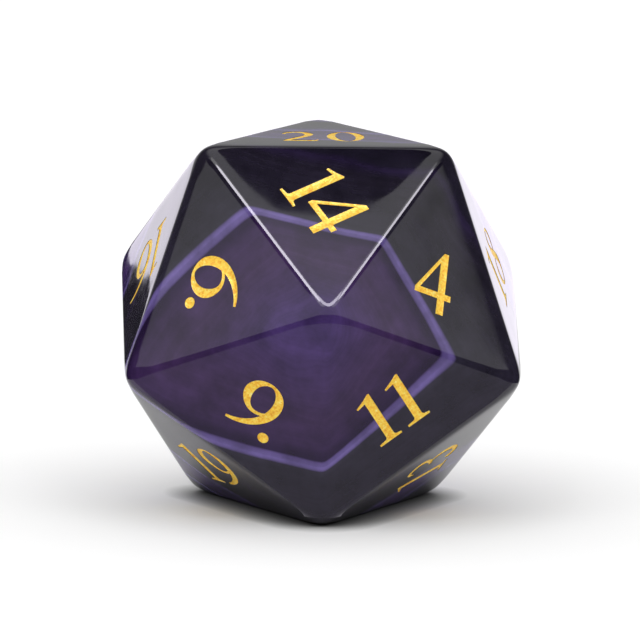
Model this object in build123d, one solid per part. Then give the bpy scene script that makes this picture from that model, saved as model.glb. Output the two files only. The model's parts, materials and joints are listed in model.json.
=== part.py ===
"""Twenty-sided polyhedral die: a polished stone body with engraved numbers, each filled with gold paint.

Millimetres, +Z up. The die rests on its face 1, so the origin is the centre of that face and
face 20 is on top. The corner between faces 14, 4, 11, 9 and 6 points along -Y, the front.
"""
from build123d import *
import os
from math import cos, radians, sin, sqrt

# Driving dimensions.
across_flats = 20.0  # between opposite faces, the size that dice are sold by
edge_round = 0.65  # radius that polishing leaves on every edge and corner
engrave_depth = 0.35  # from a face to the floor of a number's pocket
paint_recess = 0.04  # from a face down to the dried paint
digit_height = 3.45
digit_gap = 0.45  # between the two digits of a number
dot_radius = 0.31  # of the dot that tells 6 from 9

# Regular icosahedron, as shares of its edge.
golden = (1 + sqrt(5)) / 2
inradius_share = golden**2 / (2 * sqrt(3))
outer_ring_share = 1 / sqrt(3)  # radius of the rings of corners round the top and bottom faces
inner_ring_share = golden / sqrt(3)  # radius of the two rings between them
inner_height_share = 1 / (2 * sqrt(3) * golden)  # height of those two rings off the centre

# Each number's face is given by its three corners, and the number's top points to the first.
# T is the ring round the top face, U and L are the upper and lower rings, B goes round the
# bottom face, and the figures are the corner's bearing from +X in degrees.
number_corners = {
    1: ("B270", "B30", "B150"),
    2: ("U30", "T330", "T90"),
    3: ("B150", "U150", "L210"),
    4: ("T330", "U270", "L330"),
    5: ("U30", "L330", "B30"),
    6: ("U270", "T210", "L210"),
    7: ("B150", "B30", "L90"),
    8: ("T90", "T210", "U150"),
    9: ("U270", "L210", "B270"),
    10: ("L90", "T90", "U150"),
    11: ("U270", "L330", "B270"),
    12: ("L90", "T90", "U30"),
    13: ("B270", "B30", "L330"),
    14: ("T330", "T210", "U270"),
    15: ("L90", "U30", "B30"),
    16: ("L210", "T210", "U150"),
    17: ("B150", "U150", "L90"),
    18: ("T330", "U30", "L330"),
    19: ("L210", "B270", "B150"),
    20: ("T90", "T210", "T330"),
}

# Each digit is drawn one unit high, with its left edge and its foot at the origin.
digit_width = {
    "0": 0.58, "1": 0.40, "2": 0.58, "3": 0.54, "4": 0.70,
    "5": 0.55, "6": 0.68, "7": 0.56, "8": 0.56, "9": 0.68,
}
tuck_in = {"4": 0.10}  # an open left side lets a digit stand closer to the one before it
dot_place = {"6": (0.81, 0.14), "9": (0.69, 0.09)}  # the dot's centre
six_back = (
    (0.67, 0.975, 0.045), (0.40, 0.875, 0.09), (0.155, 0.62, 0.14),
    (0.085, 0.37, 0.16), (0.145, 0.14, 0.125), (0.28, 0.035, 0.06), (0.38, 0.025, 0.05),
)
six_bowl = (
    (0.14, 0.50, 0.05), (0.26, 0.59, 0.055), (0.42, 0.60, 0.07),
    (0.605, 0.33, 0.15), (0.53, 0.12, 0.11), (0.40, 0.035, 0.06), (0.31, 0.025, 0.05),
)


def corner_points(flat_to_flat):
    """The twelve corners of an icosahedron of this size, by name, with its centre at the origin."""
    edge = flat_to_flat / (2 * inradius_share)
    top = flat_to_flat / 2
    middle = edge * inner_height_share
    levels = {
        "T": (edge * outer_ring_share, top, (90, 210, 330)),
        "U": (edge * inner_ring_share, middle, (270, 30, 150)),
        "L": (edge * inner_ring_share, -middle, (90, 210, 330)),
        "B": (edge * outer_ring_share, -top, (270, 30, 150)),
    }
    points = {}
    for level, (radius, height, bearings) in levels.items():
        for bearing in bearings:
            angle = radians(bearing)
            points[f"{level}{bearing}"] = Vector(radius * cos(angle), radius * sin(angle), height)
    return points


def icosahedron(flat_to_flat):
    """A sharp-edged icosahedron about the origin."""
    points = corner_points(flat_to_flat)
    sides = []
    for corners in number_corners.values():
        sides.append(Face(Wire.make_polygon([points[name] for name in corners])))
    return Solid(Shell(sides))


def number_plane(number):
    """The plane of a number's face: origin at its centre, x to the reader's right, y up the number."""
    points = corner_points(across_flats)
    corners = [points[name] for name in number_corners[number]]
    centre = (corners[0] + corners[1] + corners[2]) / 3
    outwards = centre.normalized()
    upwards = (corners[0] - centre).normalized()
    lift = Vector(0, 0, across_flats / 2)
    return Plane(origin=centre + lift, x_dir=upwards.cross(outwards), z_dir=outwards)


def stroke(*stations):
    """A pen stroke: a smooth centre line through (x, y, thickness) stations, as wide at each as it says."""
    line = Spline(*[(x, y) for x, y, _ in stations])
    left = []
    right = []
    for x, y, thickness in stations:
        along = line % line.param_at_point(Vector(x, y))
        across = Vector(-along.Y, along.X) * (thickness / 2)
        left.append(Vector(x, y) + across)
        right.append(Vector(x, y) - across)
    start = Line(right[0], left[0])
    end = Line(left[-1], right[-1])
    return make_face(Wire([Spline(*left), end, Spline(*reversed(right)), start]))


def polygon(*points):
    return make_face(Wire(Polyline(*points, close=True).edges()))


def ring(x, y, half_width, half_height, side, top, tilt=0):
    """A closed loop: an ellipse less a tilted ellipse, thick at its sides and thin at its top and foot."""
    outer = Pos(x, y) * Ellipse(half_width, half_height)
    inner = Pos(x, y) * Rot(0, 0, tilt) * Ellipse(half_width - side, half_height - top)
    return outer - inner


def zero():
    return ring(0.29, 0.5, 0.29, 0.5, side=0.135, top=0.045, tilt=4)


def one():
    return polygon(
        (0.0, 0.0), (0.40, 0.0), (0.40, 0.04), (0.31, 0.06), (0.29, 0.09), (0.29, 0.99), (0.265, 1.0),
        (0.16, 0.94), (0.0, 0.87), (0.008, 0.835), (0.15, 0.865), (0.15, 0.09), (0.13, 0.06), (0.0, 0.04),
    )


def two():
    curve = stroke(
        (0.045, 0.74, 0.04), (0.10, 0.88, 0.07), (0.26, 0.95, 0.10),
        (0.43, 0.77, 0.135), (0.37, 0.52, 0.11), (0.06, 0.05, 0.07),
    )
    foot = polygon((0.0, 0.0), (0.53, 0.0), (0.58, 0.17), (0.555, 0.175), (0.49, 0.105), (0.04, 0.10))
    return curve + foot


def three():
    upper = stroke(
        (0.04, 0.80, 0.04), (0.24, 0.95, 0.09), (0.425, 0.79, 0.13),
        (0.32, 0.59, 0.09), (0.15, 0.525, 0.04),
    )
    lower = stroke(
        (0.16, 0.53, 0.03), (0.34, 0.53, 0.07), (0.465, 0.31, 0.14),
        (0.36, 0.09, 0.10), (0.10, 0.07, 0.09),
    )
    return upper + lower + Pos(0.085, 0.09) * Circle(0.07)


def four():
    outline = polygon(
        (0.0, 0.25), (0.445, 0.25), (0.445, 0.0), (0.585, 0.0), (0.585, 0.25), (0.70, 0.25),
        (0.70, 0.35), (0.585, 0.35), (0.585, 1.0), (0.50, 1.0), (0.0, 0.325),
    )
    counter = polygon((0.10, 0.35), (0.445, 0.35), (0.445, 0.83))
    return outline - counter


def five():
    flag = polygon((0.035, 0.56), (0.085, 0.62), (0.105, 0.86), (0.46, 0.86), (0.50, 1.0), (0.055, 1.0))
    bowl = stroke(
        (0.04, 0.60, 0.06), (0.27, 0.585, 0.11), (0.48, 0.31, 0.14),
        (0.34, 0.075, 0.10), (0.09, 0.08, 0.09),
    )
    return flag + bowl + Pos(0.075, 0.09) * Circle(0.065)


def six():
    return stroke(*six_back) + stroke(*six_bowl)


def seven():
    bar = polygon(
        (0.0, 0.79), (0.03, 0.79), (0.10, 0.89), (0.47, 0.89), (0.56, 0.955), (0.56, 1.0), (0.035, 1.0),
    )
    leg = stroke((0.51, 0.955, 0.07), (0.33, 0.55, 0.10), (0.19, 0.01, 0.12))
    return bar + leg


def eight():
    upper = ring(0.28, 0.765, 0.205, 0.235, side=0.085, top=0.04)
    lower = ring(0.28, 0.265, 0.28, 0.265, side=0.115, top=0.045)
    spine = stroke((0.125, 0.79, 0.09), (0.22, 0.60, 0.14), (0.38, 0.45, 0.15), (0.49, 0.27, 0.12))
    return upper + lower + spine


def half_turned(stations):
    """A six's stroke turned upside down about the middle of the digit, as a nine has it."""
    return [(digit_width["9"] - x, 1 - y, thickness) for x, y, thickness in stations]


def nine():
    return stroke(*half_turned(six_back)) + stroke(*half_turned(six_bowl))


draw = {
    "0": zero, "1": one, "2": two, "3": three, "4": four,
    "5": five, "6": six, "7": seven, "8": eight, "9": nine,
}
name_endings = {1: ("",), 2: ("_tens", "_units")}  # by how many digits the number has


def placed(outline, x, y):
    """An outline drawn one unit high, at its real size, with its lower left corner at x, y."""
    return Pos(x, y) * scale(outline, by=digit_height)


def number_outlines(number):
    """The outlines of a number's digits and dot on its face, by name, centred on the face's centre."""
    digits = str(number)
    closer = sum(tuck_in.get(d, 0) for d in digits[1:]) * digit_height
    length = sum(digit_width[d] for d in digits) * digit_height + digit_gap * (len(digits) - 1) - closer
    foot = -digit_height / 2
    x = -length / 2
    outlines = {}
    for position, (digit, ending) in enumerate(zip(digits, name_endings[len(digits)])):
        if position > 0:
            x += digit_gap - tuck_in.get(digit, 0) * digit_height
        outlines[f"paint_{number}{ending}"] = placed(draw[digit](), x, foot)
        if digits in dot_place:
            across, up = dot_place[digits]
            centre = Pos(x + across * digit_height, foot + up * digit_height)
            outlines[f"paint_{number}_dot"] = centre * Circle(dot_radius)
        x += digit_width[digit] * digit_height
    return outlines


def engraving(number):
    """Each of a number's pockets as a cutter that runs out past the face, and the paint that fills it."""
    floor = number_plane(number).offset(-engrave_depth)
    pockets = []
    paints = {}
    for name, outline in number_outlines(number).items():
        base = floor * outline
        pockets += extrude(base, amount=engrave_depth + edge_round, dir=floor.z_dir).solids()
        paints[name] = extrude(base, amount=engrave_depth - paint_recess, dir=floor.z_dir)
    return pockets, paints


def stone_blank():
    """The polished body before engraving: a smaller icosahedron grown by the edge radius, base on z = 0."""
    core = icosahedron(across_flats - 2 * edge_round)
    return Pos(0, 0, across_flats / 2) * offset(core, amount=edge_round, kind=Kind.ARC)


pieces = {}
cutters = []
for number in number_corners:
    pockets, paints = engraving(number)
    cutters += pockets
    pieces.update(paints)
pieces["stone_body"] = stone_blank() - cutters

os.makedirs("parts", exist_ok=True)
for name, piece in pieces.items():
    export_step(piece, f"parts/{name}.step")
print(len(pieces), "nodes")
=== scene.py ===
import json
import bpy
import numpy as np
from mathutils import Matrix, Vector
from mathutils.geometry import delaunay_2d_cdt


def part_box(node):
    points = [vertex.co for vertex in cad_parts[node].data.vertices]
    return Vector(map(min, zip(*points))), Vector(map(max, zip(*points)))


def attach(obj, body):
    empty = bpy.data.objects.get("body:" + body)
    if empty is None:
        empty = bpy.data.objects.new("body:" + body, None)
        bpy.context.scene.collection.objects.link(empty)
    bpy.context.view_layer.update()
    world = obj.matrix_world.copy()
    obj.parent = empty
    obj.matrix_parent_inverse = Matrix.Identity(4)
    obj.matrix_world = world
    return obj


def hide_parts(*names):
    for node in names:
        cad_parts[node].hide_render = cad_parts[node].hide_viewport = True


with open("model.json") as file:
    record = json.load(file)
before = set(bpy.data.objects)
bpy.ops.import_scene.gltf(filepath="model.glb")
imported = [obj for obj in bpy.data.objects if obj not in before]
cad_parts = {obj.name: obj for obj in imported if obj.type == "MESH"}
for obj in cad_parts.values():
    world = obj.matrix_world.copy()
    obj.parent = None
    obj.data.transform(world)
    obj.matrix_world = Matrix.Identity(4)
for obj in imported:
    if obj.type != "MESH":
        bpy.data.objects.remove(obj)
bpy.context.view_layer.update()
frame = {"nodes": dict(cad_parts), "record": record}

mm = 0.001  # shapes are worked out in millimetres and become metres as each mesh is made
tiny = 1e-6  # mm between points, and square mm of a sliver, that count as nothing
weldDecimals = 4  # points that agree to these decimals of a mm are one point
mounts = {mount["name"]: mount for mount in frame["record"]["mounts"]}

stone = {
    "edgeBlend": 125.0,  # power that rounds the edges: higher is sharper
    "rollBlend": 42.0,  # power of the softer blend that lets a face fall away before its edge
    "rollShare": 0.15,
    "cornerBlend": 58.0,  # power of the blend that blunts the corners
    "cornerReach": 8.0,  # degrees from a corner where it fades out
    "rows": (0.0, 0.05, 0.1, 0.16, 0.23, 0.31, 0.42, 0.56, 0.75, 1.0, 1.4),  # mm in from the edges
    "pointsPerEdge": 72,
    "crowding": 0.55,  # how much the points along an edge crowd towards its corners
    "innerRows": (2.0, 2.7, 3.4),
    "innerPoints": 14,
    "lip": 0.018,  # the eased rim of each engraved pocket
    "lipSteps": 4,
    "clearOfRim": 0.09,  # no grid point lies nearer to a pocket's rim
    "bendLimit": 0.6,  # least cosine at a rim's bend, which limits how far its lip stretches there
    "slopeStep": 0.002,  # mm either side of a point that its slopes are taken over
}
paint = {
    "topSlack": 0.001,  # how far below a CAD deposit's highest point its flat top still counts
    "gridStep": 0.05,
    "scatter": 0.3,  # share of a step that each grid point is moved by at most
    "clearOfWall": 0.03,
    "climb": 0.022,  # how far the paint draws up the pocket's wall
    "sag": 0.022,  # how far its middle sinks
    "reach": 0.10,  # how far from the wall the climb fades out
    "grain": 0.0045,
    "grainLengths": (0.07, 0.22),
    "grainWaves": 26,
    "seed": 20,
    "crease": 45.0,  # degrees past which an edge of the deposit is sharp
}

boxLow, boxHigh = [np.array(corner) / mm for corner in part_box("stone_body")]
acrossFlats = boxHigh[2] - boxLow[2]
centre = np.array([0.0, 0.0, boxLow[2] + acrossFlats / 2])
golden = (1 + 5**0.5) / 2
edge = acrossFlats * 3**0.5 / golden**2


# Three corners at equal angles on a level ring: radius times (cos, sin) of the bearings.
def cornerRing(radius, height, firstBearing):
    angles = np.radians(firstBearing + np.array([0.0, 120.0, 240.0]))
    return np.stack([radius * np.cos(angles), radius * np.sin(angles), np.full(3, height)], axis=1)


outerRadius = edge / 3**0.5
innerRadius = edge * golden / 3**0.5
innerHeight = edge / (2 * 3**0.5 * golden)
corners = np.concatenate([
    cornerRing(outerRadius, acrossFlats / 2, 90),
    cornerRing(innerRadius, innerHeight, 270),
    cornerRing(innerRadius, -innerHeight, 90),
    cornerRing(outerRadius, -acrossFlats / 2, 270),
])
numbers = sorted(int(name.split("_")[1]) for name in mounts)
normals = np.array([mounts[f"face_{number}"]["axis"] for number in numbers])
normals /= np.linalg.norm(normals, axis=1, keepdims=True)


# A face's frame: its centre, two directions along it and its normal, with its three corners in those two.
def faceFrame(number):
    normal = normals[numbers.index(number)]
    own = corners[np.argsort(-(corners @ normal))[:3]]
    middle = own.mean(axis=0)
    across = own[0] - middle
    across /= np.linalg.norm(across)
    up = np.cross(normal, across)
    flat = np.stack([(own - middle) @ across, (own - middle) @ up], axis=1)
    turn = np.argsort(np.arctan2(flat[:, 1], flat[:, 0]))
    return middle, across, up, normal, flat[turn]


# Blended radius: half the flat size over the p-norm of (face normal . direction) over the faces.
def blendedRadius(directions, power):
    facing = np.clip(directions @ normals.T, 0, None)
    return acrossFlats / 2 / (facing**power).sum(axis=-1) ** (1 / power)


# The polished skin: each point of the sharp solid moves along its ray to a mix of blended radii.
# The corner blend's share is (1 - (angle to the nearest corner / reach)^2)^2.
def skin(points):
    directions = points / np.linalg.norm(points, axis=-1, keepdims=True)
    share = stone["rollShare"]
    radius = (1 - share) * blendedRadius(directions, stone["edgeBlend"])
    radius = radius + share * blendedRadius(directions, stone["rollBlend"])
    towards = (directions @ (corners / np.linalg.norm(corners[0])).T).max(axis=-1)
    angle = np.degrees(np.arccos(np.clip(towards, -1, 1)))
    share = np.clip(1 - (angle / stone["cornerReach"]) ** 2, 0, 1) ** 2
    radius = radius + share * (blendedRadius(directions, stone["cornerBlend"]) - radius)
    return directions * radius[..., None]


# Normal of the skin: the cross product of its slopes along the face's two directions.
def skinNormals(points, across, up):
    step = stone["slopeStep"]
    alongAcross = skin(points + step * across) - skin(points - step * across)
    alongUp = skin(points + step * up) - skin(points - step * up)
    normal = np.cross(alongAcross, alongUp)
    return normal / np.linalg.norm(normal, axis=-1, keepdims=True)


# The points of a CAD paint node, in millimetres from the die's centre.
def nodePoints(nodeName):
    mesh = frame["nodes"][nodeName].data
    place = np.empty(len(mesh.vertices) * 3)
    mesh.vertices.foreach_get("co", place)
    return place.reshape(-1, 3) / mm - centre


# The rim of a paint node's flat top, as points in its face's frame and, for each, the next one
# round. A rim edge is one that a single top triangle uses, so the outline runs with paint on its left.
def rimOf(nodeName, middle, across, up, normal):
    place = nodePoints(nodeName) - middle
    flat = np.stack([place @ across, place @ up, place @ normal], axis=1)
    mesh = frame["nodes"][nodeName].data
    mesh.calc_loop_triangles()
    corner = np.empty(len(mesh.loop_triangles) * 3, dtype=np.int32)
    mesh.loop_triangles.foreach_get("vertices", corner)
    rounded = np.round(flat, weldDecimals)
    _, first, merged = np.unique(rounded, axis=0, return_index=True, return_inverse=True)
    merged = merged.reshape(-1)
    triangles = merged[corner.reshape(-1, 3)]
    flat = flat[first]
    level = flat[:, 2].max()
    triangles = triangles[(flat[triangles, 2] > level - paint["topSlack"]).all(axis=1)]
    starts = triangles.reshape(-1)
    ends = np.roll(triangles, -1, axis=1).reshape(-1)
    count = len(flat)
    lone = ~np.isin(starts * count + ends, ends * count + starts)
    starts, ends = starts[lone], ends[lone]
    kept = np.unique(starts)
    following = np.empty(count, dtype=int)
    following[starts] = ends
    return flat[kept, :2], np.searchsorted(kept, following[kept])


# Triangles over flat points that keep the given edges; slivers along the hull are dropped.
def triangulate(points, edges):
    _, _, found, sources, _, _ = delaunay_2d_cdt(points.tolist(), edges.tolist(), [], 0, tiny)
    source = np.array([own[0] for own in sources])
    triangles = source[np.array(found)]
    a, b, c = points[triangles[:, 0]], points[triangles[:, 1]], points[triangles[:, 2]]
    area = np.cross(b - a, c - a) / 2
    triangles[area < 0] = triangles[area < 0][:, ::-1]
    return triangles[np.abs(area) > tiny]


# Inside by even and odd: how many outline edges lie to the right of each point.
def insideOutline(points, starts, ends):
    x, y = points[:, 0:1], points[:, 1:2]
    above = (starts[:, 1] > y) != (ends[:, 1] > y)
    rise = np.where(ends[:, 1] == starts[:, 1], 1.0, ends[:, 1] - starts[:, 1])
    crossing = starts[:, 0] + (y - starts[:, 1]) * (ends[:, 0] - starts[:, 0]) / rise
    return (above & (x < crossing)).sum(axis=1) % 2 == 1


# Distance to an outline: the nearest foot on any of its edges.
def outlineDistance(points, starts, ends):
    run = ends - starts
    length = (run**2).sum(axis=1) + 1e-12
    share = np.clip(((points[:, None] - starts) * run).sum(axis=-1) / length, 0, 1)
    return np.sqrt(((points[:, None] - starts - share[..., None] * run) ** 2).sum(axis=-1)).min(axis=1)


# Outward directions at an outline's points: the mean of its two edges turned a quarter, lengthened
# so that a constant offset keeps its width round a bend.
def outlineNormals(points, following):
    before = np.empty_like(following)
    before[following] = np.arange(len(following))
    ahead = points[following] - points
    ahead /= np.linalg.norm(ahead, axis=1, keepdims=True)
    behind = ahead[before]
    mean = ahead + behind
    mean /= np.linalg.norm(mean, axis=1, keepdims=True) + 1e-9
    stretch = 1 / np.clip((mean * ahead).sum(axis=1), stone["bendLimit"], 1)
    return np.stack([mean[:, 1], -mean[:, 0]], axis=1), stretch[:, None]


# Loose triangles, with a normal at each corner or None, welded into one closed mesh.
def weld(name, triangles, cornerNormals, material):
    points = triangles.reshape(-1, 3)
    rounded = np.round(points, weldDecimals)
    _, first, merged = np.unique(rounded, axis=0, return_index=True, return_inverse=True)
    faces = merged.reshape(-1, 3)
    sound = (faces != np.roll(faces, 1, axis=1)).all(axis=1)
    mesh = bpy.data.meshes.new(name)
    mesh.from_pydata((points[first] + centre) * mm, [], faces[sound].tolist())
    mesh.polygons.foreach_set("use_smooth", np.ones(len(mesh.polygons), dtype=bool))
    mesh.materials.append(material)
    if cornerNormals is not None:
        mesh.normals_split_custom_set(cornerNormals.reshape(-1, 3, 3)[sound].reshape(-1, 3))
    piece = bpy.data.objects.new(name, mesh)
    bpy.context.scene.collection.objects.link(piece)
    return piece


# Nested triangles: a side's points at shares t eased towards both corners, shrunk by 1 - inset / inradius.
def nestedPoints(flatCorners, insets, count):
    inradius = edge / (2 * 3**0.5)
    t = np.arange(count) / count
    t = t - stone["crowding"] * np.sin(2 * np.pi * t) / (2 * np.pi)
    sides = []
    for own, following in zip(flatCorners, np.roll(flatCorners, -1, axis=0)):
        sides.append(own + t[:, None] * (following - own))
    outline = np.concatenate(sides)
    return np.concatenate([outline * (1 - inset / inradius) for inset in insets])


# One face of the skin with its pockets: the skin round the rims, then each rim's lip as a quarter
# round, its wall and its floor. Returns loose triangles and a normal for each of their corners.
def stoneFace(number, digitNames):
    middle, across, up, normal, flatCorners = faceFrame(number)
    axes = np.stack([across, up])
    rims = [rimOf(name, middle, across, up, normal) for name in digitNames]
    lipPoints, lipEdges, rimStarts, rimEnds, shift = [], [], [], [], 0
    for points, following in rims:
        outward, stretch = outlineNormals(points, following)
        wide = points + outward * stretch * stone["lip"]
        lipPoints.append(wide)
        lipEdges.append(np.stack([np.arange(len(points)), following], axis=1) + shift)
        rimStarts.append(wide)
        rimEnds.append(wide[following])
        shift += len(points)
    rimStarts, rimEnds = np.concatenate(rimStarts), np.concatenate(rimEnds)

    outerCount = stone["pointsPerEdge"]
    border = nestedPoints(flatCorners, stone["rows"][:1], outerCount)
    grid = np.concatenate([
        nestedPoints(flatCorners, stone["rows"][1:], outerCount),
        nestedPoints(flatCorners, stone["innerRows"], stone["innerPoints"]),
        np.zeros((1, 2)),
    ])
    free = ~insideOutline(grid, rimStarts, rimEnds)
    free &= outlineDistance(grid, rimStarts, rimEnds) > stone["clearOfRim"]
    lipPoints = np.concatenate(lipPoints)
    points = np.concatenate([lipPoints, border, grid[free]])
    borderIndex = len(lipPoints) + np.arange(len(border))
    edges = np.concatenate(lipEdges + [np.stack([borderIndex, np.roll(borderIndex, -1)], axis=1)])
    triangles = triangulate(points, edges)
    middles = points[triangles].mean(axis=1)
    triangles = triangles[~insideOutline(middles, rimStarts, rimEnds)]
    sharp = middle + points[triangles] @ axes
    shapes = [skin(sharp)]
    shades = [skinNormals(sharp, across, up)]

    floorDepth = (middle @ normal) - (nodePoints(digitNames[0]) @ normal).min()
    for points, following in rims:
        outward, stretch = outlineNormals(points, following)
        turn = np.linspace(0, np.pi / 2, stone["lipSteps"] + 1)
        out = np.append(stone["lip"] * (1 - np.sin(turn)), 0)
        down = np.append(stone["lip"] * (1 - np.cos(turn)), floorDepth)
        lean = np.append(turn, np.pi / 2)
        rings = middle + (points + outward * stretch * out[:, None, None]) @ axes
        rings[0] = skin(rings[0])
        rings = rings - down[:, None, None] * normal
        inward = -(outward @ axes)
        slopes = np.cos(lean)[:, None, None] * normal + np.sin(lean)[:, None, None] * inward
        index = np.arange(len(points))
        for upper in range(len(rings) - 1):
            quad = [(upper, index), (upper, following), (upper + 1, following), (upper + 1, index)]
            for order in ((0, 1, 2), (0, 2, 3)):
                shapes.append(np.stack([rings[quad[k][0]][quad[k][1]] for k in order], axis=1))
                shades.append(np.stack([slopes[quad[k][0]][quad[k][1]] for k in order], axis=1))
        floorEdges = np.stack([index, following], axis=1)
        floor = triangulate(points, floorEdges)
        inside = insideOutline(points[floor].mean(axis=1), points, points[following])
        shapes.append((middle - floorDepth * normal) + points[floor[inside]] @ axes)
        shades.append(np.broadcast_to(normal, shapes[-1].shape))
    return np.concatenate(shapes), np.concatenate(shades)


# A sum of plane waves of random direction, length and phase, about one high.
def lumps(points, random):
    shortest, longest = paint["grainLengths"]
    lengths = random.uniform(shortest, longest, paint["grainWaves"])
    bearings = random.uniform(0, 2 * np.pi, paint["grainWaves"])
    phases = random.uniform(0, 2 * np.pi, paint["grainWaves"])
    waves = np.stack([np.cos(bearings), np.sin(bearings)]) * (2 * np.pi / lengths)
    return np.sin(points @ waves + phases).sum(axis=1) / np.sqrt(paint["grainWaves"] / 2)


# A dried paint deposit: its top climbs the wall as exp(-distance / reach), sags in the middle and
# carries the lumps of its flakes, and its wall and underside fill the pocket.
def paintDeposit(nodeName, number, material, random):
    middle, across, up, normal, _ = faceFrame(number)
    axes = np.stack([across, up])
    rim, following = rimOf(nodeName, middle, across, up, normal)
    starts, ends = rim, rim[following]
    low, high = rim.min(axis=0), rim.max(axis=0)
    step = paint["gridStep"]
    x, y = np.meshgrid(np.arange(low[0], high[0], step), np.arange(low[1], high[1], step))
    grid = np.stack([x.ravel(), y.ravel()], axis=1)
    grid = grid + random.uniform(-paint["scatter"], paint["scatter"], grid.shape) * step
    grid = grid[insideOutline(grid, starts, ends)]
    grid = grid[outlineDistance(grid, starts, ends) > paint["clearOfWall"]]
    points = np.concatenate([rim, grid])
    rimEdges = np.stack([np.arange(len(rim)), following], axis=1)
    top = triangulate(points, rimEdges)
    top = top[insideOutline(points[top].mean(axis=1), starts, ends)]

    heights = nodePoints(nodeName) @ normal - middle @ normal
    distance = outlineDistance(points, starts, ends)
    fade = np.exp(-distance / paint["reach"])
    height = heights.max() + paint["climb"] * fade - paint["sag"] * (1 - fade)
    height = height + paint["grain"] * (1 - fade) * lumps(points, random)
    surface = middle + points @ axes + height[:, None] * normal
    base = middle + rim @ axes + heights.min() * normal
    under = triangulate(rim, rimEdges)
    under = under[insideOutline(rim[under].mean(axis=1), starts, ends)][:, ::-1]
    index = np.arange(len(rim))
    walls = [
        np.stack([surface[index], base[index], base[following]], axis=1),
        np.stack([surface[index], base[following], surface[following]], axis=1),
    ]
    shape = np.concatenate([surface[top], *walls, base[under]])
    piece = weld(nodeName.replace("paint", "gold"), shape, None, material)
    piece.data.set_sharp_from_angle(angle=np.radians(paint["crease"]))
    return piece


# Adds a node, sets its properties and its sockets, and links those sockets that are given an output.
def addNode(tree, kind, sockets=None, **properties):
    node = tree.nodes.new(kind)
    for key, value in properties.items():
        setattr(node, key, value)
    for key, value in (sockets or {}).items():
        if isinstance(value, bpy.types.NodeSocket):
            tree.links.new(value, node.inputs[key])
        else:
            node.inputs[key].default_value = value
    return node


def math(tree, operation, first, second=0.0, third=0.0):
    return addNode(tree, "ShaderNodeMath", {0: first, 1: second, 2: third}, operation=operation).outputs[0]


def newMaterial(name):
    material = bpy.data.materials.new(name)
    material.use_nodes = True
    material.node_tree.nodes.clear()
    return material, material.node_tree


# Display red, green and blue out of 255, as linear light.
def tone(red, green, blue):
    shown = np.array([red, green, blue]) / 255
    linear = np.where(shown <= 0.04045, shown / 12.92, ((shown + 0.055) / 1.055) ** 2.4)
    return (*linear.tolist(), 1.0)


# Sets a colour ramp's stops from (place, colour) pairs, with places from low to high.
def setStops(ramp, stops, low, high):
    elements = ramp.color_ramp.elements
    while len(elements) > 1:
        elements.remove(elements[-1])
    for order, (place, colour) in enumerate(stops):
        share = (place - low) / (high - low)
        element = elements[0] if order == 0 else elements.new(share)
        element.position = share
        element.color = colour


agate = {
    "alongX": (0.238, -0.0096, -0.00109),  # how the layers rise with x, x squared and x cubed, in mm
    "alongZ": (-0.0319, 0.0199, -0.00076),
    "offset": 7.618,  # puts layer height 0 on the pale ring that crosses the five front faces
    "wander": (0.22, 2.6),  # the layers' waviness: cycles per mm and height in mm
    "ripple": (1.1, 0.22),
    "calm": (0.6, 6.0),  # the waviness grows between these heights from the ring
    "leastWander": 0.06,  # the share of it that the ring itself has
    "stops": (  # layer height in mm and colour, from the front corner to the back
        (-4.2, tone(60, 43, 90)),
        (-3.2, tone(56, 39, 79)),
        (-2.0, tone(53, 36, 70)),
        (-0.8, tone(49, 32, 68)),
        (-0.42, tone(32, 18, 50)),
        (-0.25, tone(33, 19, 52)),
        (-0.19, tone(86, 71, 125)),
        (0.0, tone(97, 83, 138)),
        (0.16, tone(86, 73, 123)),
        (0.23, tone(39, 36, 49)),
        (0.5, tone(34, 31, 43)),
        (3.6, tone(29, 25, 37)),
        (4.1, tone(34, 26, 50)),
        (4.4, tone(25, 22, 34)),
        (7.2, tone(24, 19, 32)),
        (7.6, tone(96, 82, 140)),
        (7.8, tone(52, 38, 84)),
        (8.9, tone(60, 36, 92)),
        (10.2, tone(44, 26, 72)),
        (10.5, tone(110, 98, 160)),
        (10.7, tone(50, 36, 84)),
        (11.6, tone(26, 18, 38)),
        (14.0, tone(24, 20, 30)),
        (14.4, tone(70, 52, 112)),
        (15.2, tone(62, 38, 98)),
        (15.6, tone(118, 106, 168)),
        (15.85, tone(56, 38, 90)),
        (17.6, tone(38, 22, 60)),
        (19.0, tone(74, 58, 118)),
        (21.0, tone(34, 22, 50)),
    ),
    "mottle": (0.5, 0.35),  # cycles per mm, and how far it darkens and brightens
    "mottleDetail": (4.0, 0.6),  # finer copies of the pattern, and how strong each is
    "streaks": (2.4, 0.14),  # fine parallel lines: cycles per mm of layer height, and their contrast
    "streakDetail": (3.0, 0.65),
    "noiseSpan": (0.3, 0.7),  # the noise values that give the full range of mottle and streaks
    "gloss": (0.035, 0.085),  # roughness of the polish, from its best to its dullest
    "glossSpan": (0.35, 0.7),  # the noise values that give it
    "dullness": (0.9, 3.0),  # cycles per mm and finer copies of the pattern that picks the roughness
    "waviness": (0.5, 0.010),  # what polishing leaves: cycles per mm and height in mm
    "ior": 1.54,
    "glow": 0.08,  # how much light spreads under the surface, and how far it goes
    "glowRadius": (0.7, 0.5, 1.0),
    "glowScale": 0.35,
}


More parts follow.
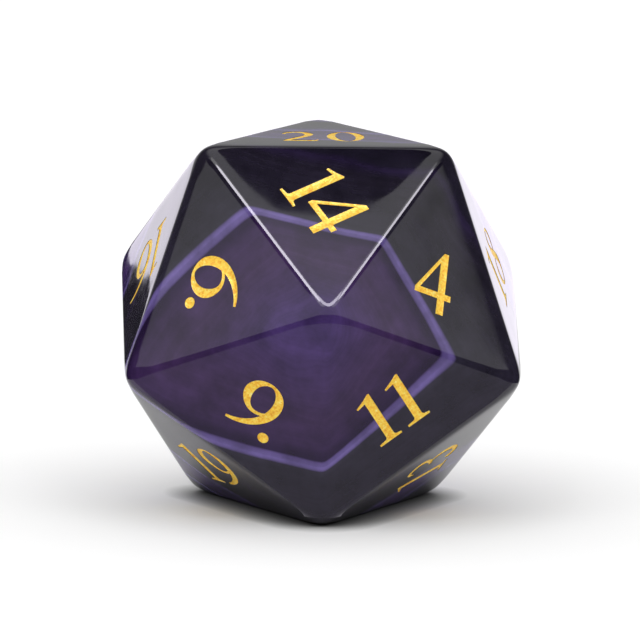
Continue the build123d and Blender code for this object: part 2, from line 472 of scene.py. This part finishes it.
# Layer height = offset + y + a cubic in x + a cubic in z + noise, read through a ramp of colours.
def agateMaterial():
    material, tree = newMaterial("bandedAgate")
    place = addNode(tree, "ShaderNodeTexCoord").outputs["Object"]
    local = addNode(tree, "ShaderNodeMapping", {
        "Vector": place, "Scale": (1 / mm, 1 / mm, 1 / mm), "Location": tuple(-centre),
    }).outputs[0]
    parts = addNode(tree, "ShaderNodeSeparateXYZ", {0: local})
    layer = math(tree, "ADD", parts.outputs[1], agate["offset"])
    for output, key in ((0, "alongX"), (2, "alongZ")):
        along = parts.outputs[output]
        linear, squared, cubed = agate[key]
        slope = math(tree, "MULTIPLY_ADD", along, cubed, squared)
        slope = math(tree, "MULTIPLY_ADD", along, slope, linear)
        layer = math(tree, "MULTIPLY_ADD", along, slope, layer)
    near, far = agate["calm"]
    fromRing = math(tree, "ABSOLUTE", layer)
    freedom = addNode(tree, "ShaderNodeMapRange", {
        "Value": fromRing, "From Min": near, "From Max": far, "To Min": agate["leastWander"],
    }).outputs[0]
    for scale, height in (agate["wander"], agate["ripple"]):
        noise = addNode(tree, "ShaderNodeTexNoise", {"Vector": local, "Scale": scale, "Detail": 1.0})
        swing = math(tree, "MULTIPLY", math(tree, "SUBTRACT", noise.outputs[0], 0.5), freedom)
        layer = math(tree, "MULTIPLY_ADD", swing, height, layer)

    low, high = agate["stops"][0][0], agate["stops"][-1][0]
    share = addNode(tree, "ShaderNodeMapRange", {"Value": layer, "From Min": low, "From Max": high})
    ramp = addNode(tree, "ShaderNodeValToRGB", {"Fac": share.outputs[0]})
    setStops(ramp, agate["stops"], low, high)

    least, most = agate["noiseSpan"]
    mottleScale, mottleDepth = agate["mottle"]
    detail, fineness = agate["mottleDetail"]
    mottle = addNode(tree, "ShaderNodeTexNoise", {
        "Vector": local, "Scale": mottleScale, "Detail": detail, "Roughness": fineness,
    })
    mottle = addNode(tree, "ShaderNodeMapRange", {
        "Value": mottle.outputs[0], "From Min": least, "From Max": most,
        "To Min": 1 - mottleDepth, "To Max": 1 + mottleDepth,
    }).outputs[0]
    streakScale, streakDepth = agate["streaks"]
    detail, fineness = agate["streakDetail"]
    streak = addNode(tree, "ShaderNodeTexNoise", {
        "W": layer, "Scale": streakScale, "Detail": detail, "Roughness": fineness,
    }, noise_dimensions="1D")
    streak = addNode(tree, "ShaderNodeMapRange", {
        "Value": streak.outputs[0], "From Min": least, "From Max": most,
        "To Min": 1 - streakDepth, "To Max": 1 + streakDepth,
    }).outputs[0]
    depth = math(tree, "MULTIPLY", mottle, streak)
    colour = addNode(tree, "ShaderNodeVectorMath", {0: ramp.outputs[0], 3: depth}, operation="SCALE")

    dullScale, detail = agate["dullness"]
    dull = addNode(tree, "ShaderNodeTexNoise", {"Vector": local, "Scale": dullScale, "Detail": detail})
    least, most = agate["glossSpan"]
    best, dullest = agate["gloss"]
    roughness = addNode(tree, "ShaderNodeMapRange", {
        "Value": dull.outputs[0], "From Min": least, "From Max": most, "To Min": best, "To Max": dullest,
    }).outputs[0]
    waveScale, waveHeight = agate["waviness"]
    wave = addNode(tree, "ShaderNodeTexNoise", {"Vector": local, "Scale": waveScale, "Detail": 0.0})
    bump = addNode(tree, "ShaderNodeBump", {"Height": wave.outputs[0], "Distance": waveHeight * mm})
    shader = addNode(tree, "ShaderNodeBsdfPrincipled", {
        "Base Color": colour.outputs[0], "Roughness": roughness, "Normal": bump.outputs[0],
        "IOR": agate["ior"], "Subsurface Weight": agate["glow"],
        "Subsurface Radius": agate["glowRadius"], "Subsurface Scale": agate["glowScale"] * mm,
    })
    output = addNode(tree, "ShaderNodeOutputMaterial")
    tree.links.new(shader.outputs[0], output.inputs["Surface"])
    return material


gold = {
    "flakesPerMm": 11.0,
    "stops": (  # from the rare dark flakes to the rare bright ones: the flakes' own colours, with painted shade in the deep orange low end and painted glints in the near-white high end
        (0.0, tone(226, 142, 30)),
        (0.2, tone(242, 174, 42)),
        (0.5, tone(254, 206, 64)),
        (0.75, tone(255, 220, 86)),
        (0.95, tone(255, 240, 150)),
        (1.0, tone(255, 246, 178)),
    ),
    "metal": (0.02, 0.35),
    "roughness": (0.3, 0.6),
    "relief": 0.012,  # height of the flakes' bump in mm
    "reliefStrength": 0.6,
    "flakeShare": 0.55,  # how much a flake's own value picks its colour
    "blotchShare": 0.9,  # how much the cloudy pattern does
    "blotchShift": -0.2,
    "blotchScale": 0.28,
    "blotchDetail": 3.0,
    "ior": 1.5,
}


# Flakes are cells of a Voronoi pattern: each cell's random value picks its colour, shine and tilt.
def goldMaterial():
    material, tree = newMaterial("goldPaint")
    place = addNode(tree, "ShaderNodeTexCoord").outputs["Object"]
    scale = gold["flakesPerMm"] / mm
    local = addNode(tree, "ShaderNodeMapping", {"Vector": place, "Scale": (scale, scale, scale)}).outputs[0]
    flakes = addNode(tree, "ShaderNodeTexVoronoi", {"Vector": local, "Scale": 1.0})
    values = addNode(tree, "ShaderNodeSeparateColor", {0: flakes.outputs["Color"]})
    blotch = addNode(tree, "ShaderNodeTexNoise", {
        "Vector": local, "Scale": gold["blotchScale"], "Detail": gold["blotchDetail"],
    })
    base = math(tree, "MULTIPLY_ADD", blotch.outputs[0], gold["blotchShare"], gold["blotchShift"])
    pick = math(tree, "MULTIPLY_ADD", values.outputs[0], gold["flakeShare"], base)
    # The ramp's deep orange end paints shade and its near-white end paints glints onto the flakes.
    ramp = addNode(tree, "ShaderNodeValToRGB", {"Fac": pick})
    setStops(ramp, gold["stops"], 0.0, 1.0)
    metal = addNode(tree, "ShaderNodeMapRange", {
        "Value": values.outputs[1],
        "To Min": gold["metal"][0],
        "To Max": gold["metal"][1],
    }).outputs[0]
    roughness = addNode(tree, "ShaderNodeMapRange", {
        "Value": values.outputs[2],
        "To Min": gold["roughness"][0],
        "To Max": gold["roughness"][1],
    }).outputs[0]
    height = math(tree, "ADD", values.outputs[0], blotch.outputs[0])
    bump = addNode(tree, "ShaderNodeBump", {
        "Height": height, "Distance": gold["relief"] * mm, "Strength": gold["reliefStrength"],
    })
    shader = addNode(tree, "ShaderNodeBsdfPrincipled", {
        "Base Color": ramp.outputs[0], "Metallic": metal, "Roughness": roughness,
        "Normal": bump.outputs[0], "IOR": gold["ior"],
    })
    output = addNode(tree, "ShaderNodeOutputMaterial")
    tree.links.new(shader.outputs[0], output.inputs["Surface"])
    return material


agateStone, goldPaint = agateMaterial(), goldMaterial()
digitNodes = {number: [] for number in numbers}
for name in sorted(frame["nodes"]):
    if name.startswith("paint_"):
        digitNodes[int(name.split("_")[1])].append(name)

faces = [stoneFace(number, digitNodes[number]) for number in numbers]
stonePiece = weld(
    "banded_stone", np.concatenate([shape for shape, _ in faces]),
    np.concatenate([shade for _, shade in faces]), agateStone,
)
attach(stonePiece, "root")
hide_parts("stone_body")
print("stone", len(stonePiece.data.polygons), "triangles")

random = np.random.default_rng(paint["seed"])
goldTriangles = 0
for number in numbers:
    for name in digitNodes[number]:
        deposit = paintDeposit(name, number, goldPaint, random)
        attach(deposit, "root")
        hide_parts(name)
        goldTriangles += len(deposit.data.polygons)
print("gold paint", goldTriangles, "triangles")


# A direction from its bearing round from the front and its height, in degrees.
def direction(bearing, height):
    b, h = np.radians(bearing), np.radians(height)
    return np.array([np.sin(b) * np.cos(h), -np.cos(b) * np.cos(h), np.sin(h)])


studio = {
    "floorSize": 6.0,
    "contactReach": 0.0016,  # how far from the die the painted shade at its foot goes, in metres
    "floorOpening": 0.72,  # a hidden opening under the die, as a share of its base
    "floorDrop": 0.00002,  # keeps it just clear of the face that the die stands on
    "floorTone": 0.96,
    "skyLevel": 1.0,  # brightness of the sky that lights the scene
    "skySeen": 1.1,  # and of the sky that the camera sees
    "sky": (  # brightness that reflections see, from the front of the sky (-1) to behind the die (1)
        (-1.0, 0.6), (-0.6, 0.75), (-0.145, 0.75), (-0.115, 0.04), (0.70, 0.04), (0.9, 0.42), (1.0, 0.42),
    ),
    "overhead": (0.72, 0.93, 1.05),  # sine of the height where top light starts and is full, its level
    "lamps": (  # bearing and height in degrees, metres off, width in metres, brightness
        (-50, 55, 0.6, 0.30, 1.6),
        (50, 55, 0.6, 0.30, 1.2),
    ),
    "cards": {  # discs that only reflections see: place, the way they face, radius, brightness
        "dark_disc": ((0.0005, -0.0004, 0.040), (0.0, 0.0, -1.0), 0.0078, 0.0),
        "left_glow": ((-0.0508, -0.0393, 0.0968), (0.49, 0.30, -0.82), 0.0160, 14.0),
        "right_glow": ((0.0566, -0.0360, 0.0942), (-0.55, 0.26, -0.79), 0.0135, 12.0),
        "left_gloom": ((-0.0840, -0.0339, 0.0887), (0.70, 0.28, -0.66), 0.0190, 0.0),
        "right_gloom": ((0.0876, -0.0319, 0.0855), (-0.73, 0.27, -0.63), 0.0170, 0.0),
        "floor_shade": ((0.0, -0.3068, 0.0005), (0.0, 0.0, 1.0), 0.300, 0.44),
    },
    "screens": {  # curved screens that only reflections see: bearings, distance, foot, top, brightness
        "left_screen": ((-115, 0), 0.026, 0.0, 0.0122, 0.01),
        "right_screen": ((0, 115), 0.026, 0.0, 0.0122, 0.01),
        "left_back_screen": ((-178, -148), 0.09, 0.0, 0.0106, 0.02),
        "back_screen": ((148, 212), 0.10, 0.0, 0.022, 1.9),
        "arch": ((-50, 50), 0.20, 0.275, 0.440, 10.0),
    },
    "glow": (0.94, 0.90, 1.0),  # the tint of the bright cards
    "cardSides": 48,
    "aside": (0.6, -0.8, 0.0),  # a direction that no disc faces, to turn each disc's outline by
}
camera = {
    "bearing": -2.1,  # degrees round from the front
    "height": 9.07,
    "roll": 0.85,
    "distance": 0.600,
    "across": 0.0345,  # what the frame takes in at the die, in metres
    "sensor": 36.0,
    "clip": (0.01, 20.0),
}
middleOfDie = centre * mm


# Right, up and back axes of something that stands off the die and looks at it, rolled about its view.
def lookAxes(back, roll=0.0):
    right = np.cross((0.0, 0.0, 1.0), back)
    right /= np.linalg.norm(right)
    up = np.cross(back, right)
    r = np.radians(roll)
    right, up = np.cos(r) * right + np.sin(r) * up, np.cos(r) * up - np.sin(r) * right
    return np.stack([right, up, back], axis=1)


def placeAt(item, back, distance, roll=0.0):
    matrix = np.eye(4)
    matrix[:3, :3] = lookAxes(back, roll)
    matrix[:3, 3] = middleOfDie + back * distance
    item.matrix_world = Matrix(matrix.tolist())
    bpy.context.scene.collection.objects.link(item)


floorMaterial, tree = newMaterial("paleFloor")
level = studio["floorTone"]
# Painted contact shade: ambient occlusion darkens the floor's colour near the die, on top of its real
# shadow.
paintedShade = addNode(tree, "ShaderNodeAmbientOcclusion", {
    "Color": (level, level, level, 1), "Distance": studio["contactReach"]})
paper = addNode(tree, "ShaderNodeBsdfDiffuse", {"Color": paintedShade.outputs["Color"]})
clear = addNode(tree, "ShaderNodeBsdfTransparent")
under = addNode(tree, "ShaderNodeNewGeometry").outputs["Backfacing"]
shader = addNode(tree, "ShaderNodeMixShader", {0: under, 1: paper.outputs[0], 2: clear.outputs[0]})
output = addNode(tree, "ShaderNodeOutputMaterial")
tree.links.new(shader.outputs[0], output.inputs["Surface"])

# The floor is a square less a triangle that the base covers, which lets light up to the base.
half = studio["floorSize"] / 2
square = half * np.array([[-1, -1], [1, -1], [1, 1], [-1, 1]])
opening = studio["floorOpening"] * corners[-3:, :2] * mm
points = np.concatenate([square, opening])
edges = np.array([(0, 1), (1, 2), (2, 3), (3, 0), (4, 5), (5, 6), (6, 4)])
triangles = triangulate(points, edges)
triangles = triangles[~insideOutline(points[triangles].mean(axis=1), opening, np.roll(opening, -1, axis=0))]
mesh = bpy.data.meshes.new("floor")
mesh.from_pydata([(x, y, -studio["floorDrop"]) for x, y in points.tolist()], [], triangles.tolist())
mesh.materials.append(floorMaterial)
floorPlane = bpy.data.objects.new("floor", mesh)
bpy.context.scene.collection.objects.link(floorPlane)


# A glowing or black surface that shows in reflections alone.
def reflectionCard(name, points, faces, brightness):
    material, tree = newMaterial(name)
    shader = addNode(tree, "ShaderNodeEmission", {"Color": (*studio["glow"], 1), "Strength": brightness})
    output = addNode(tree, "ShaderNodeOutputMaterial")
    tree.links.new(shader.outputs[0], output.inputs["Surface"])
    mesh = bpy.data.meshes.new(name)
    mesh.from_pydata(points, [], faces)
    mesh.materials.append(material)
    card = bpy.data.objects.new(name, mesh)
    bpy.context.scene.collection.objects.link(card)
    card.visible_camera = card.visible_diffuse = card.visible_shadow = card.visible_transmission = False


# A disc: centre + radius (cos right + sin up), with right and up square to the way it faces.
sides = studio["cardSides"]
turn = np.linspace(0, 2 * np.pi, sides, endpoint=False)
for name, (place, facing, radius, brightness) in studio["cards"].items():
    facing = np.array(facing) / np.linalg.norm(facing)
    right = np.cross(facing, studio["aside"])
    right /= np.linalg.norm(right)
    up = np.cross(facing, right)
    points = place + radius * (np.cos(turn)[:, None] * right + np.sin(turn)[:, None] * up)
    reflectionCard(name, points, [list(range(sides))], brightness)

# A screen: an upright strip carried round the die at one distance.
for name, (bearings, distance, foot, top, brightness) in studio["screens"].items():
    turn = np.radians(np.linspace(*bearings, sides))
    path = distance * np.stack([np.sin(turn), -np.cos(turn), 0 * turn], axis=1)
    points = np.concatenate([path + np.array([0, 0, foot]), path + np.array([0, 0, top])])
    index = np.arange(sides - 1)
    faces = np.stack([index, index + 1, index + 1 + sides, index + sides], axis=1).tolist()
    reflectionCard(name, points, faces, brightness)

# A disc lamp of brightness L gives pi times its area times L watts.
for order, (bearing, height, distance, wide, brightness) in enumerate(studio["lamps"]):
    lamp = bpy.data.lights.new(f"softbox_{order + 1}", "AREA")
    lamp.shape = "DISK"
    lamp.size = wide
    lamp.energy = np.pi * (np.pi * wide**2 / 4) * brightness
    softbox = bpy.data.objects.new(lamp.name, lamp)
    placeAt(softbox, direction(bearing, height), distance)
    softbox.visible_camera = False

# The camera and the floor see a plain white sky. Reflections see it bright in front, dark at the
# sides and to the back, half bright right behind the die, and white overhead.
world = bpy.data.worlds.new("studio")
world.use_nodes = True
bpy.context.scene.world = world
tree = world.node_tree
tree.nodes.clear()
ray = addNode(tree, "ShaderNodeTexCoord").outputs["Generated"]
parts = addNode(tree, "ShaderNodeSeparateXYZ", {0: ray})
share = addNode(tree, "ShaderNodeMapRange", {
    "Value": parts.outputs[1], "From Min": -1.0, "From Max": 1.0,
})
ramp = addNode(tree, "ShaderNodeValToRGB", {"Fac": share.outputs[0]})
setStops(ramp, [(place, (level, level, level, 1.0)) for place, level in studio["sky"]], -1.0, 1.0)
start, full, level = studio["overhead"]
overhead = addNode(tree, "ShaderNodeMapRange", {
    "Value": parts.outputs[2], "From Min": start, "From Max": full,
}, interpolation_type="SMOOTHSTEP").outputs[0]
reflected = addNode(tree, "ShaderNodeMix", {0: overhead, 2: ramp.outputs[0], 3: level}).outputs[0]
rays = addNode(tree, "ShaderNodeLightPath")
strength = addNode(tree, "ShaderNodeMix", {
    0: rays.outputs["Is Glossy Ray"], 2: studio["skyLevel"], 3: reflected}).outputs[0]
strength = addNode(tree, "ShaderNodeMix", {
    0: rays.outputs["Is Camera Ray"], 2: strength, 3: studio["skySeen"]}).outputs[0]
background = addNode(tree, "ShaderNodeBackground", {"Color": (1, 1, 1, 1), "Strength": strength})
output = addNode(tree, "ShaderNodeOutputWorld")
tree.links.new(background.outputs[0], output.inputs["Surface"])

cameraData = bpy.data.cameras.new("camera")
cameraData.sensor_width = camera["sensor"]
cameraData.lens = camera["sensor"] * camera["distance"] / camera["across"]
cameraData.clip_start, cameraData.clip_end = camera["clip"]
cameraObject = bpy.data.objects.new("camera", cameraData)
back = direction(camera["bearing"], camera["height"])
placeAt(cameraObject, back, camera["distance"], camera["roll"])
bpy.context.scene.camera = cameraObject
bpy.context.scene.view_settings.view_transform = "Standard"
print("studio ready")
